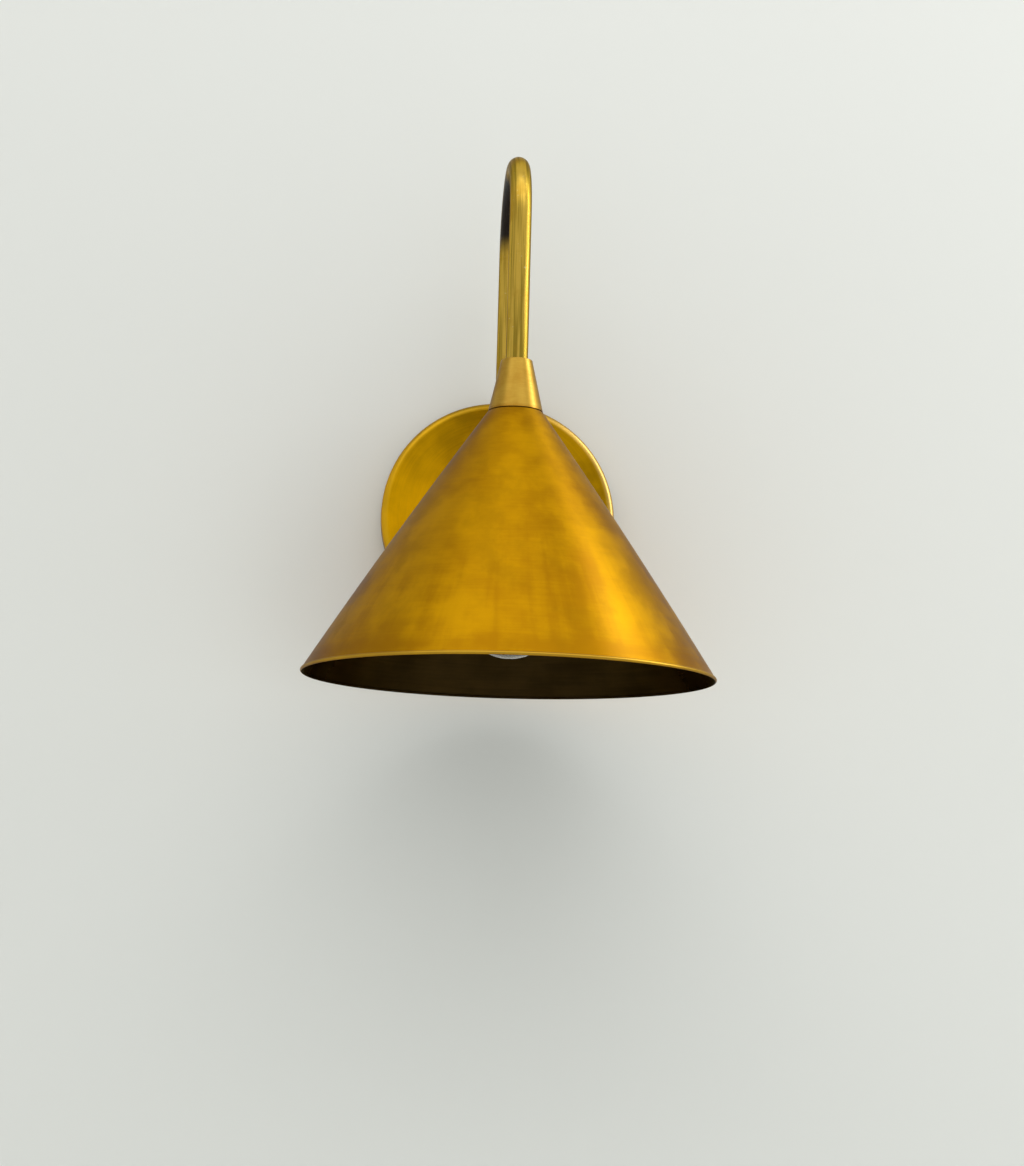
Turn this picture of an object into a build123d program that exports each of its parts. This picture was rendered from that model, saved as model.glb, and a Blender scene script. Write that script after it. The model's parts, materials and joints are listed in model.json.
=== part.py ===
from build123d import *

import os
from math import atan2, degrees, sqrt

# A brass wall light: a round plate on the wall, a gooseneck arm that rises from the plate, bends
# over and comes down again, and a cone shade that hangs from its end round a lampholder and bulb.
#
# Millimetres. The wall is the plane y = 0, the light stands on its -y side, and +z is up. The
# origin is the middle of the wall plate, on the wall. Pieces at the wall are drawn with their
# local +z pointing out from the wall, and pieces of the lamp on the upright axis of the shade.

# ---------------------------------------------------------------- fits, all on the radius
thread_gap = 0.05  # a male thread in its female one, both drawn smooth
running_gap = 0.08  # a piece that turns or slides on another
braze_gap = 0.05  # a tube end in the socket that it is brazed into
loose_gap = 0.3  # faces that pass each other without touching

# ---------------------------------------------------------------- wall plate
plate_d = 127.0
plate_depth = 14.0
plate_wall = 1.3
plate_edge_r = 4.0

# ---------------------------------------------------------------- mounting strap and its studs
box_slot_spacing = 88.9  # between the screws of the box in the wall
box_slot_width = 5.0
box_slot_length = 12.0
strap_end = 3.55  # steel past each slot
strap_width = 22.0
strap_thick = 2.0
tab_width = 26.0
stud_spacing = 60.0
stud_d = 4.0
stud_head_d = 6.5
stud_head_h = 1.0
stud_hole_gap = 0.4  # play of the plate's two holes round the studs
stud_engagement = 6.0  # how far a stud reaches into its cap nut
cap_nut_d = 11.0
cap_nut_h = 9.5
cap_nut_dome_r = 3.5
cap_nut_edge_r = 0.4
cap_nut_flutes = 20
cap_nut_flute_r = 0.55
cap_nut_blind = 1.0  # room past the end of the stud

# ---------------------------------------------------------------- gooseneck arm
limb_spacing = 67.6  # between the rear and the front limb
tube_d = 11.1
tube_wall = 1.0
arch_centre_z = 138.9
lower_bend_r = 20.0
stub_free = 0.4  # straight tube between the hub and the lower bend
hub_d = 20.0
hub_length = 9.0
hub_nose_d = 15.0
hub_rim_h = 2.0
hub_seat = 4.5  # how deep the tube stands in the hub
hub_round = 0.8

# ---------------------------------------------------------------- threaded nipples, nuts, washers
nipple_d = 10.0
nipple_bore_d = 6.5
nut_flats = 14.0
nut_h = 3.0
nut_chamfer = 0.6
washer_h = 1.0
lock_washer_d = 16.0
lock_washer_teeth = 12
lock_washer_notch_r = 0.9
shade_washer_d = 22.0
spigot_length = 12.0  # of the lower nipple, up inside the tube
nipple_free = 5.9  # bare thread between the upper nut and the tube

# ---------------------------------------------------------------- collar
collar_top_d = 15.6
collar_height = 26.3
collar_wall = 1.2
collar_neck = 8.0  # length that rides on the tube
collar_round = 0.5
grub_d = 3.0
grub_recess = 0.35
grub_slot_w = 0.6
grub_slot_depth = 0.8

# ---------------------------------------------------------------- shade
shade_d = 203.2
shade_height = 133.5
shade_wall = 1.0
shade_neck_d = 27.4
shade_top_z = 35.1
shade_bead_d = 1.7
shade_belly = 1.0  # how far the side swells beyond a straight cone
shade_shoulder_r = 0.6

# ---------------------------------------------------------------- lampholder
socket_d = 39.0
socket_wall = 1.9
socket_boss_d = 16.0
socket_boss_h = 6.0
socket_thread = 7.5  # length of the lower nipple inside the cap
socket_cap_h = 29.0
socket_dome_r = 10.0
socket_boss_round = 0.8
core_h = 10.0
core_drop = 24.0  # from the top of the cap to the top of the porcelain
ledge_h = 1.8
ledge_w = 3.0
skirt_length = 32.5
skirt_lip_r = 0.8
shell_bore_d = 27.0
shell_wall = 0.4
shell_length = 21.0
shell_hole_d = 17.0
shell_bead_h = 1.2
shell_bead_w = 0.7
rivet_d = 2.4
rivet_head_d = 4.2
rivet_head_h = 0.8
rivet_pitch_r = 11.2
terminal_size = 6.0
terminal_spread = 8.2  # from the axis to each terminal
terminal_screw_d = 2.6
terminal_head_d = 4.0
terminal_head_h = 1.6

# ---------------------------------------------------------------- sprung centre contact
contact_d = 9.0
contact_h = 2.0
contact_proud = 1.5  # below the floor of the porcelain
contact_travel = 0.8
contact_stem_d = 2.4
contact_stem = 7.4
pocket_gap = 0.5
spring_wire_d = 0.6
spring_mean_d = 4.8
spring_turns = 4.5
spring_bore_d = 6.8
spring_length = 5.9
spring_end_gap = 0.05

# ---------------------------------------------------------------- bulb
bulb_length = 83.2
bulb_d = 50.0
bulb_neck_d = 24.8
bulb_neck_free = 0.5  # straight neck of glass that shows below the cap
glass_wall = 0.8
glass_in_cap = 4.4
bulb_contact_d = 8.6
bulb_contact_h = 0.6
insulator_h = 2.4
insulator_d = 23.0
bulb_cap_d = 26.1
bulb_cap_wall = 0.35
bulb_cap_h = 22.0
stem_d = 6.0
stem_length = 19.0
stem_foot_h = 1.0
stem_flare_h = 3.0
filament_wire_d = 0.8
filament_span = 18.0
filament_drop = 17.0
filament_root = 3.0
filament_knee = 2.5  # straight length of each wire below the stem
filament_bend_r = 2.0

# ---------------------------------------------------------------- leads and terminal block
lead_d = 2.0
lead_offset = 1.2  # of each lead from the middle plane of the arm
lead_bend_r = 3.0
lead_in_terminal = 4.0
lead_bore_gap = 0.15
block_ways = 3
block_pitch = 10.0
block_width = 30.0
block_height = 16.0
block_thick = 9.0
block_low_z = 14.0
way_tube_d = 4.5
way_tube_wall_end = 1.5  # plastic past each end of a brass tube
way_screw_d = 2.5
way_screw_spacing = 8.0
way_well_gap = 0.45
way_screw_recess = 0.8
block_screw_d = 3.0
block_screw_head_d = 5.6
block_screw_head_h = 1.5
block_corner_r = 0.8

# ---------------------------------------------------------------- earth screw and its tag
earth_x = 12.0
earth_screw_d = 4.0
earth_head_d = 7.4
earth_head_h = 2.2
earth_tag_d = 8.6
earth_tag_h = 0.8
earth_washer_h = 0.6
earth_barrel_d = 3.1
earth_barrel_length = 4.5
slot_w = 0.8
slot_depth = 0.8

# ---------------------------------------------------------------- places that follow
strap_length = box_slot_spacing + box_slot_length + 2 * strap_end
rear_y = -(plate_depth + hub_length + stub_free + lower_bend_r)
front_y = rear_y - limb_spacing
arch_r = limb_spacing / 2
tube_r = tube_d / 2
tube_bore_r = tube_r - tube_wall
nipple_r = nipple_d / 2
tube_wall_end = plate_depth + hub_seat  # distance of the tube's end from the wall
plate_back = plate_depth - plate_wall
nut_back = plate_back - washer_h - nut_h  # distance of the wall nut's back from the wall
seam_z = shade_top_z
tube_low_z = seam_z + nut_h + nipple_free
washer_low_z = seam_z - shade_wall - washer_h
cap_top_z = washer_low_z - nut_h
nipple_low_z = cap_top_z - socket_thread
cap_low_z = cap_top_z - socket_cap_h
core_top_z = cap_top_z - core_drop
core_low_z = core_top_z - core_h
tip_z = core_low_z - contact_proud  # where the bulb meets the sprung contact
pocket_top_z = tip_z + contact_h + contact_travel + spring_end_gap * 2
insulator_low_z = tip_z - bulb_contact_h - insulator_h
bulb_cap_low_z = insulator_low_z - bulb_cap_h
bulb_low_z = tip_z - bulb_length
glass_top_z = bulb_cap_low_z + glass_in_cap
stem_low_z = glass_top_z - stem_length
lead_r = lead_d / 2
lead_way = nut_back - lead_bend_r  # distance of the leads from the wall, behind the nut
way_bore_r = lead_r + lead_bore_gap
block_mid_z = block_low_z + block_height / 2
rim_z = seam_z - shade_height

at_wall = Rot(90, 0, 0)  # local +z points out from the wall
at_lamp = Pos(0, front_y, 0)
to_wall = Rot(-90, 0, 0)  # a radial piece that points from the lamp's axis to the wall
along_y = Rot(90, 0, 0)


# ---------------------------------------------------------------- shapes that repeat
def turned(*corners):
    """A body turned about z from (radius, height) corners, each with an optional rounding."""
    points = [corner[:2] for corner in corners]
    roundings = [corner[2] if len(corner) > 2 else 0 for corner in corners]
    outline = FilletPolyline(*points, radius=roundings, close=True)
    return revolve(Plane.XZ * make_face(outline), Axis.Z)


def rod(radius, low, high):
    return Pos(0, 0, low) * Cylinder(radius, high - low, align=(Align.CENTER, Align.CENTER, Align.MIN))


def ring(outer_r, inner_r, low, high):
    return turned((inner_r, low), (outer_r, low), (outer_r, high), (inner_r, high))


def group(pieces):
    """Several separate solids that share one node."""
    return Compound([solid for piece in pieces for solid in piece.solids()])


def slotted(screw, top, width, depth, length):
    """A screw with a driver slot across the end that stands at height top."""
    return screw - Pos(0, 0, top - depth / 2) * Box(length, width, depth)


def hex_nut(low):
    corner_r = nut_flats / sqrt(3)
    blank = Pos(0, 0, low) * extrude(RegularPolygon(nut_flats / 2, 6, major_radius=False), nut_h)
    top = low + nut_h
    cone_r = corner_r - nut_chamfer
    envelope = turned(
        (0, low), (cone_r, low), (corner_r, low + nut_chamfer / 2),
        (corner_r, top - nut_chamfer / 2), (cone_r, top), (0, top),
    )
    return (blank & envelope) - rod(nipple_r + thread_gap, low, top)


def toothed_washer(low):
    washer = ring(lock_washer_d / 2, nipple_r + thread_gap, low, low + washer_h)
    notch = rod(lock_washer_notch_r, low, low + washer_h)
    for step in range(lock_washer_teeth):
        turn = Rot(0, 0, step * 360 / lock_washer_teeth)
        washer -= turn * Pos(lock_washer_d / 2, 0, 0) * notch
    return washer


# ---------------------------------------------------------------- at the wall
def wall_plate():
    outer = plate_d / 2
    inner = outer - plate_wall
    hole = nipple_r + thread_gap
    plate = turned(
        (outer, 0), (outer, plate_depth, plate_edge_r), (hole, plate_depth), (hole, plate_back),
        (inner, plate_back, plate_edge_r - plate_wall), (inner, 0),
    )
    for side in (-1, 1):
        plate -= Pos(side * stud_spacing / 2, 0, 0) * rod(stud_d / 2 + stud_hole_gap, 0, plate_depth)
    return at_wall * plate


def mounting_strap():
    tab_top = block_low_z + block_height
    outline = SlotOverall(strap_length, strap_width) + Pos(0, tab_top / 2) * Rectangle(tab_width, tab_top)
    outline -= Circle(nipple_r + thread_gap)
    outline -= Pos(earth_x, 0) * Circle(earth_screw_d / 2 + thread_gap)
    outline -= Pos(block_pitch / 2, block_mid_z) * Circle(block_screw_d / 2 + thread_gap)
    for side in (-1, 1):
        outline -= Pos(side * box_slot_spacing / 2, 0) * SlotOverall(box_slot_length, box_slot_width)
        outline -= Pos(side * stud_spacing / 2, 0) * Circle(stud_d / 2 + thread_gap)
    strap = extrude(outline, strap_thick)
    for side in (-1, 1):
        strap -= Pos(side * stud_spacing / 2, 0, 0) * rod(stud_head_d / 2, 0, stud_head_h)
    return at_wall * strap


def strap_studs():
    stud = rod(stud_head_d / 2, 0, stud_head_h) + rod(stud_d / 2, 0, plate_depth + stud_engagement)
    return group([at_wall * Pos(side * stud_spacing / 2, 0, 0) * stud for side in (-1, 1)])


def cap_nut(side):
    radius = cap_nut_d / 2
    bore_r = stud_d / 2 + running_gap
    low = plate_depth
    top = low + cap_nut_h
    bore_top = low + stud_engagement + cap_nut_blind
    nut = turned(
        (bore_r, low), (radius, low, cap_nut_edge_r), (radius, top, cap_nut_dome_r), (0, top),
        (0, bore_top), (bore_r, bore_top),
    )
    flute = rod(cap_nut_flute_r, low, top)
    for step in range(cap_nut_flutes):
        nut -= Rot(0, 0, step * 360 / cap_nut_flutes) * Pos(radius, 0, 0) * flute
    return at_wall * Pos(side * stud_spacing / 2, 0, 0) * nut


def terminal_block():
    """Plastic block with a way for each conductor, drawn round the holes of its brass tubes."""
    middle = Pos(0, block_mid_z, strap_thick + block_thick / 2)
    block = middle * Box(block_width, block_height, block_thick)
    block = fillet(block.edges().filter_by(Axis.Z), block_corner_r)
    front = strap_thick + block_thick
    tube_hole = along_y * Cylinder(way_tube_d / 2 + thread_gap, block_height)
    for x in way_places():
        block -= Pos(x, block_mid_z, lead_way) * tube_hole
        for z in way_screw_heights():
            block -= Pos(x, z, 0) * rod(way_screw_d / 2 + way_well_gap, lead_way, front)
    seat = front - block_screw_head_h
    fixing = rod(block_screw_d / 2 + way_well_gap, strap_thick, front)
    fixing += rod(block_screw_head_d / 2 + way_well_gap, seat, front)
    return at_wall * (block - Pos(block_pitch / 2, block_mid_z, 0) * fixing)


def way_places():
    return [(way - (block_ways - 1) / 2) * block_pitch for way in range(block_ways)]


def way_screw_heights():
    return [block_mid_z + side * way_screw_spacing / 2 for side in (-1, 1)]


def terminal_tubes():
    length = block_height - 2 * way_tube_wall_end
    tubes = []
    for x in way_places():
        tube = along_y * (Cylinder(way_tube_d / 2, length) - Cylinder(way_bore_r, length))
        tube = Pos(x, block_mid_z, lead_way) * tube
        for z in way_screw_heights():
            tube -= Pos(x, z, 0) * rod(way_screw_d / 2 + thread_gap, lead_way, lead_way + way_tube_d)
        tubes.append(at_wall * tube)
    return group(tubes)


def terminal_screws():
    low = lead_way + way_bore_r
    top = strap_thick + block_thick - way_screw_recess
    screw = slotted(rod(way_screw_d / 2, low, top), top, slot_w, slot_depth, way_screw_d)
    places = [(x, z) for x in way_places() for z in way_screw_heights()]
    return group([at_wall * Pos(x, z, 0) * screw for x, z in places])


def block_screw():
    seat = strap_thick + block_thick - block_screw_head_h
    top = seat + block_screw_head_h
    screw = rod(block_screw_d / 2, 0, seat) + rod(block_screw_head_d / 2, seat, top)
    screw = slotted(screw, top, slot_w, slot_depth, block_screw_head_d)
    return at_wall * Pos(block_pitch / 2, block_mid_z, 0) * screw


def earth_seat():
    """Distance from the wall of the head of the earth screw."""
    return strap_thick + earth_tag_h + earth_washer_h


def earth_screw():
    seat = earth_seat()
    top = seat + earth_head_h
    screw = rod(earth_screw_d / 2, 0, seat) + turned(
        (0, seat), (earth_head_d / 2, seat), (earth_head_d / 2, top, earth_head_h / 2), (0, top)
    )
    return at_wall * Pos(earth_x, 0, 0) * slotted(screw, top, slot_w, slot_depth, earth_head_d)


def earth_washer():
    low = strap_thick + earth_tag_h
    hole_r = earth_screw_d / 2 + thread_gap
    return at_wall * Pos(earth_x, 0, 0) * ring(earth_head_d / 2, hole_r, low, low + earth_washer_h)


def earth_barrel_out():
    """Distance from the wall of the axis of the tag's barrel."""
    return strap_thick + earth_barrel_d / 2


def earth_tag():
    """Ring tongue under the earth screw, with the barrel that is crimped round the earth lead."""
    low = strap_thick
    high = low + earth_tag_h
    barrel_low = earth_tag_d / 2
    tongue = Pos(0, barrel_low / 2, low + earth_tag_h / 2) * Box(earth_barrel_d, barrel_low, earth_tag_h)
    barrel = along_y * Cylinder(earth_barrel_d / 2, earth_barrel_length)
    tag = rod(earth_tag_d / 2, low, high) + tongue
    tag += Pos(0, barrel_low + earth_barrel_length / 2, earth_barrel_out()) * barrel
    tag -= rod(earth_screw_d / 2 + thread_gap, low, high)
    bore = along_y * Cylinder(lead_r + thread_gap, earth_barrel_length)
    tag -= Pos(0, barrel_low + earth_barrel_length / 2 + earth_tag_h, earth_barrel_out()) * bore
    return at_wall * Pos(earth_x, 0, 0) * tag


# ---------------------------------------------------------------- arm
def arm_hub():
    low = plate_depth
    top = plate_depth + hub_length
    bore_r = tube_r + braze_gap
    thread_r = nipple_r + thread_gap
    return at_wall * turned(
        (thread_r, low), (hub_d / 2, low), (hub_d / 2, low + hub_rim_h, hub_round),
        (hub_nose_d / 2, top, hub_round), (bore_r, top), (bore_r, tube_wall_end),
        (thread_r, tube_wall_end),
    )


def arm_route(x):
    """Middle line of the arm, moved sideways by x, from the lower bend over the arch."""
    bend_y = rear_y + lower_bend_r
    share = 1 - sqrt(0.5)
    quarter = ThreePointArc(
        (x, bend_y, 0), (x, rear_y + share * lower_bend_r, share * lower_bend_r), (x, rear_y, lower_bend_r)
    )
    rise = Line((x, rear_y, lower_bend_r), (x, rear_y, arch_centre_z))
    crown = (x, rear_y - arch_r, arch_centre_z + arch_r)
    arch = ThreePointArc((x, rear_y, arch_centre_z), crown, (x, front_y, arch_centre_z))
    return quarter + rise + arch


def arm_tube():
    start = (0, -tube_wall_end, 0)
    stub = Line(start, (0, rear_y + lower_bend_r, 0))
    fall = Line((0, front_y, arch_centre_z), (0, front_y, tube_low_z))
    section = Plane(start, x_dir=(1, 0, 0), z_dir=(0, -1, 0)) * (Circle(tube_r) - Circle(tube_bore_r))
    return sweep(section, path=stub + arm_route(0) + fall)


def wall_nipple():
    return at_wall * ring(nipple_r, nipple_bore_d / 2, nut_back, tube_wall_end)


def wall_lock_washer():
    return at_wall * toothed_washer(plate_back - washer_h)


def wall_lock_nut():
    return at_wall * hex_nut(nut_back)


def lead_tail(points):
    return FilletPolyline(*points, radius=lead_bend_r)


def lead_along(path, start, direction):
    section = Plane(start, z_dir=direction) * Circle(lead_r)
    return sweep(section, path=path)


def arm_lead(side, way_x):
    """Insulated conductor from its way in the block, through the arm, to its terminal."""
    x = side * lead_offset
    end_x = side * terminal_spread
    top = (way_x, -lead_way, block_low_z + way_tube_wall_end + lead_in_terminal)
    bend_y = rear_y + lower_bend_r
    below_block = (way_x, -lead_way, block_low_z - lead_d)
    wall_end = lead_tail([top, below_block, (x, -lead_way, 0), (x, bend_y, 0)])
    terminal_top = core_top_z + terminal_size
    lamp_end = lead_tail([
        (x, front_y, arch_centre_z), (x, front_y, nipple_low_z - lead_r),
        (end_x, front_y, terminal_top + lead_d), (end_x, front_y, terminal_top - lead_in_terminal),
    ])
    return lead_along(wall_end + arm_route(x) + lamp_end, top, (0, 0, -1))


def live_lead():
    return arm_lead(-1, way_places()[0])


def neutral_lead():
    return arm_lead(1, way_places()[1])


def earth_lead():
    way_x = way_places()[-1]
    out = earth_barrel_out()
    top = (way_x, -lead_way, block_low_z + way_tube_wall_end + lead_in_terminal)
    barrel_top = earth_tag_d / 2 + earth_barrel_length
    path = FilletPolyline(
        top, (way_x, -lead_way, block_low_z - lead_r), (earth_x, -out, barrel_top + lead_r),
        (earth_x, -out, earth_tag_d / 2 + earth_tag_h), radius=lead_bend_r,
    )
    return lead_along(path, top, (0, 0, -1))


# ---------------------------------------------------------------- between the arm and the shade
def shade_nipple():
    """Threaded below, with a plain spigot that is brazed up inside the tube."""
    bore_r = nipple_bore_d / 2
    spigot_r = tube_bore_r - braze_gap
    return at_lamp * turned(
        (bore_r, nipple_low_z), (nipple_r, nipple_low_z), (nipple_r, tube_low_z),
        (spigot_r, tube_low_z), (spigot_r, tube_low_z + spigot_length),
        (bore_r, tube_low_z + spigot_length),
    )


def collar_outer_r(z):
    """Outer radius of the collar at a height."""
    share = (z - seam_z - loose_gap) / collar_height
    return (shade_neck_d + (collar_top_d - shade_neck_d) * share) / 2


def grub_z():
    return seam_z + loose_gap + collar_height - collar_neck / 2


def collar():
    """Slim cone cover, loose on the tube and held there by a grub screw at its back."""
    low = seam_z + loose_gap
    top = low + collar_height
    neck_z = top - collar_neck
    bore_r = tube_r + running_gap
    cone = turned(
        (collar_outer_r(low), low), (collar_top_d / 2, top, collar_round), (bore_r, top),
        (bore_r, neck_z), (collar_outer_r(neck_z) - collar_wall, neck_z),
        (collar_outer_r(low) - collar_wall, low),
    )
    hole = Pos(0, 0, grub_z()) * to_wall * rod(grub_d / 2 + thread_gap, bore_r - running_gap, shade_neck_d)
    return at_lamp * (cone - hole)


def radial_grub(z, inner_r, outer_r):
    """Slotted grub screw that points from the lamp's axis to the wall."""
    screw = slotted(rod(grub_d / 2, inner_r, outer_r), outer_r, grub_slot_w, grub_slot_depth, grub_d)
    return at_lamp * Pos(0, 0, z) * to_wall * screw


def collar_grub_screw():
    z = grub_z()
    return radial_grub(z, tube_r + running_gap, collar_outer_r(z + grub_d / 2) - grub_recess)


def upper_lock_nut():
    return at_lamp * hex_nut(seam_z)


def lower_lock_nut():
    return at_lamp * hex_nut(cap_top_z)


def shade_washer():
    return at_lamp * ring(
        shade_washer_d / 2, nipple_r + thread_gap, washer_low_z, washer_low_z + washer_h
    )


# ---------------------------------------------------------------- shade
def shade():
    """Spun cone with a flat top, a slight belly and a round bead along its rim."""
    neck_r = shade_neck_d / 2
    bead_r = shade_bead_d / 2
    bead = Vector(shade_d / 2 - bead_r, rim_z + bead_r)
    neck = Vector(neck_r, seam_z)
    slant = bead - neck
    outward = Vector(-slant.Y, slant.X) / slant.length
    rim = bead + outward * (shade_wall / 2)
    middle = (neck + rim) / 2 + outward * shade_belly
    inward = outward * -shade_wall
    outline = (
        ThreePointArc(neck, middle, rim)
        + Line(rim, rim + inward)
        + ThreePointArc(rim + inward, middle + inward, neck + inward)
        + Line(neck + inward, neck)
    )
    hole_r = nipple_r + running_gap
    top = Pos((hole_r + neck_r) / 2, seam_z - shade_wall / 2) * Rectangle(neck_r - hole_r, shade_wall)
    profile = make_face(outline) + top
    profile = fillet(profile.vertices().sort_by_distance(neck)[0], shade_shoulder_r)
    profile += Pos(bead.X, bead.Y) * Circle(bead_r)
    return at_lamp * revolve(Plane.XZ * profile, Axis.Z)


# ---------------------------------------------------------------- lampholder
def socket_cap():
    outer = socket_d / 2
    inner = outer - socket_wall
    bore_r = nipple_r + thread_gap
    shoulder = cap_top_z - socket_boss_h
    boss_r = socket_boss_d / 2
    cap = turned(
        (bore_r, nipple_low_z), (bore_r, cap_top_z), (boss_r, cap_top_z, socket_boss_round),
        (boss_r, shoulder), (outer, shoulder, socket_dome_r), (outer, cap_low_z),
        (inner, cap_low_z), (inner, nipple_low_z, socket_dome_r - socket_wall),
    )
    hole = rod(grub_d / 2 + thread_gap, nipple_r, socket_boss_d)
    return at_lamp * (cap - Pos(0, 0, cap_grub_z()) * to_wall * hole)


def cap_grub_z():
    return cap_top_z - socket_boss_h / 2


def socket_cap_screw():
    return radial_grub(cap_grub_z(), nipple_r + thread_gap, socket_boss_d / 2 - grub_recess)


def inside_r():
    """Inner radius of the lampholder's cap and skirt."""
    return socket_d / 2 - socket_wall


def socket_core():
    """Porcelain disc with the pocket, spring bore and guide hole of the centre contact."""
    core = rod(inside_r() - loose_gap, core_low_z, core_top_z)
    core -= rod(contact_d / 2 + pocket_gap, core_low_z, pocket_top_z)
    core -= rod(spring_bore_d / 2, pocket_top_z, spring_top_z())
    core -= rod(contact_stem_d / 2 + running_gap, spring_top_z(), core_top_z)
    for place in rivet_places():
        core -= place * rod(rivet_d / 2 + thread_gap, core_low_z, core_top_z)
    return at_lamp * core


def spring_top_z():
    return tip_z + contact_h + spring_length


def rivet_places():
    return [Pos(0, side * rivet_pitch_r, 0) for side in (-1, 1)]


def shell_rivets():
    """Two rivets that hold the screw shell up against the porcelain."""
    low = core_low_z - shell_wall
    rivet = rod(rivet_head_d / 2, low - rivet_head_h, low)
    rivet += rod(rivet_d / 2, low, core_top_z)
    rivet += rod(rivet_head_d / 2, core_top_z, core_top_z + rivet_head_h)
    return group([at_lamp * place * rivet for place in rivet_places()])


def screw_shell():
    """Shell that takes the bulb's cap, with an in-turned top and rolled thread beads outside."""
    inner = shell_bore_d / 2
    outer = inner + shell_wall
    low = core_low_z - shell_length
    top = core_low_z
    shell = ring(outer, inner, low, top)
    shell += ring(outer, shell_hole_d / 2, top - shell_wall, top)
    shell += ring(outer + shell_bead_w, outer, low, low + shell_bead_h)
    for place in rivet_places():
        shell -= place * rod(rivet_d / 2 + thread_gap, top - shell_wall, top)
    return at_lamp * shell


def socket_skirt():
    """Sleeve below the cap, with the inner ledge that the porcelain stands on."""
    outer = socket_d / 2
    inner = inside_r()
    ledge_r = inner - ledge_w
    low = cap_low_z - skirt_length
    return at_lamp * turned(
        (outer, cap_low_z), (outer, low, skirt_lip_r), (inner, low, skirt_lip_r / 2),
        (inner, core_low_z - ledge_h), (ledge_r, core_low_z - ledge_h), (ledge_r, core_low_z),
        (inner, core_low_z), (inner, cap_low_z),
    )


def socket_terminals():
    """Two pillar terminals on the porcelain, each with a hole for its lead and one for its screw."""
    half = terminal_size / 2
    top = core_top_z + terminal_size
    pillars = []
    for side in (-1, 1):
        pillar = Pos(side * terminal_spread, 0, core_top_z + half) * Box(*[terminal_size] * 3)
        pillar -= Pos(side * terminal_spread, 0, 0) * rod(way_bore_r, top - lead_in_terminal, top)
        screw_hole = terminal_screw_place(side) * rod(terminal_screw_d / 2 + thread_gap, 0, half)
        pillars.append(at_lamp * (pillar - screw_hole))
    return group(pillars)


def terminal_screw_place(side):
    """Axis of a terminal's screw, which points outward from the middle of its pillar."""
    z = core_top_z + terminal_size - lead_in_terminal / 2
    return Pos(side * terminal_spread, 0, z) * Rot(0, side * 90, 0)


def socket_terminal_screws():
    half = terminal_size / 2
    top = half + terminal_head_h
    screw = rod(terminal_screw_d / 2, way_bore_r, half) + rod(terminal_head_d / 2, half, top)
    screw = slotted(screw, top, slot_w, slot_depth, terminal_head_d)
    return group([at_lamp * terminal_screw_place(side) * screw for side in (-1, 1)])


def centre_contact():
    """Sprung plunger that the bulb's tip presses up."""
    head_top = tip_z + contact_h
    return at_lamp * (
        rod(contact_d / 2, tip_z, head_top) + rod(contact_stem_d / 2, head_top, head_top + contact_stem)
    )


def contact_spring():
    low = tip_z + contact_h + spring_end_gap + spring_wire_d / 2
    height = spring_length - 2 * spring_end_gap - spring_wire_d
    radius = spring_mean_d / 2
    coil = Helix(height / spring_turns, height, radius)
    start = Plane(coil @ 0, z_dir=coil % 0)
    wire = sweep(start * Circle(spring_wire_d / 2), path=coil, is_frenet=True)
    return at_lamp * Pos(0, 0, low) * wire


# ---------------------------------------------------------------- bulb
def glass_edges(inset):
    """Side of the glass, from the middle of its bottom up into the cap, moved in by inset."""
    globe_r = bulb_d / 2
    centre_z = bulb_low_z + globe_r
    neck_r = bulb_neck_d / 2
    rise = bulb_cap_low_z - bulb_neck_free - centre_z
    shoulder_r = (rise**2 - globe_r**2 + neck_r**2) / (2 * (globe_r - neck_r))
    bend_r = neck_r + shoulder_r
    join = degrees(atan2(rise, bend_r))
    globe = CenterArc((0, centre_z), globe_r - inset, -90, 90 + join)
    shoulder = CenterArc((bend_r, centre_z + rise), shoulder_r + inset, 180 + join, -join)
    return globe, shoulder, Line(shoulder @ 1, (neck_r - inset, glass_top_z))


def bulb_globe():
    outer = glass_edges(0)
    inner = glass_edges(glass_wall)
    edge_of_neck = Line(outer[-1] @ 1, inner[-1] @ 1)
    middle_of_floor = Line(outer[0] @ 0, inner[0] @ 0)
    outline = Curve() + [*outer, *inner, edge_of_neck, middle_of_floor]
    return at_lamp * revolve(Plane.XZ * make_face(outline), Axis.Z)


def bulb_cap():
    outer = bulb_cap_d / 2
    inner = outer - bulb_cap_wall
    top_r = insulator_d / 2
    return at_lamp * turned(
        (top_r, insulator_low_z), (outer, insulator_low_z - (outer - top_r)), (outer, bulb_cap_low_z),
        (inner, bulb_cap_low_z), (inner, insulator_low_z - (outer - top_r)),
        (top_r - bulb_cap_wall, insulator_low_z),
    )


def bulb_insulator():
    top = tip_z - bulb_contact_h
    return at_lamp * turned(
        (0, insulator_low_z), (insulator_d / 2, insulator_low_z), (bulb_contact_d / 2, top), (0, top)
    )


def bulb_contact():
    return at_lamp * rod(bulb_contact_d / 2, tip_z - bulb_contact_h, tip_z)


def bulb_stem():
    """Glass stem that closes the neck and carries the filament."""
    foot_r = bulb_neck_d / 2 - glass_wall - braze_gap
    foot_z = glass_top_z - stem_foot_h
    return at_lamp * turned(
        (0, glass_top_z), (foot_r, glass_top_z), (foot_r, foot_z), (stem_d / 2, foot_z - stem_flare_h),
        (stem_d / 2, stem_low_z), (0, stem_low_z),
    )


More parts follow.
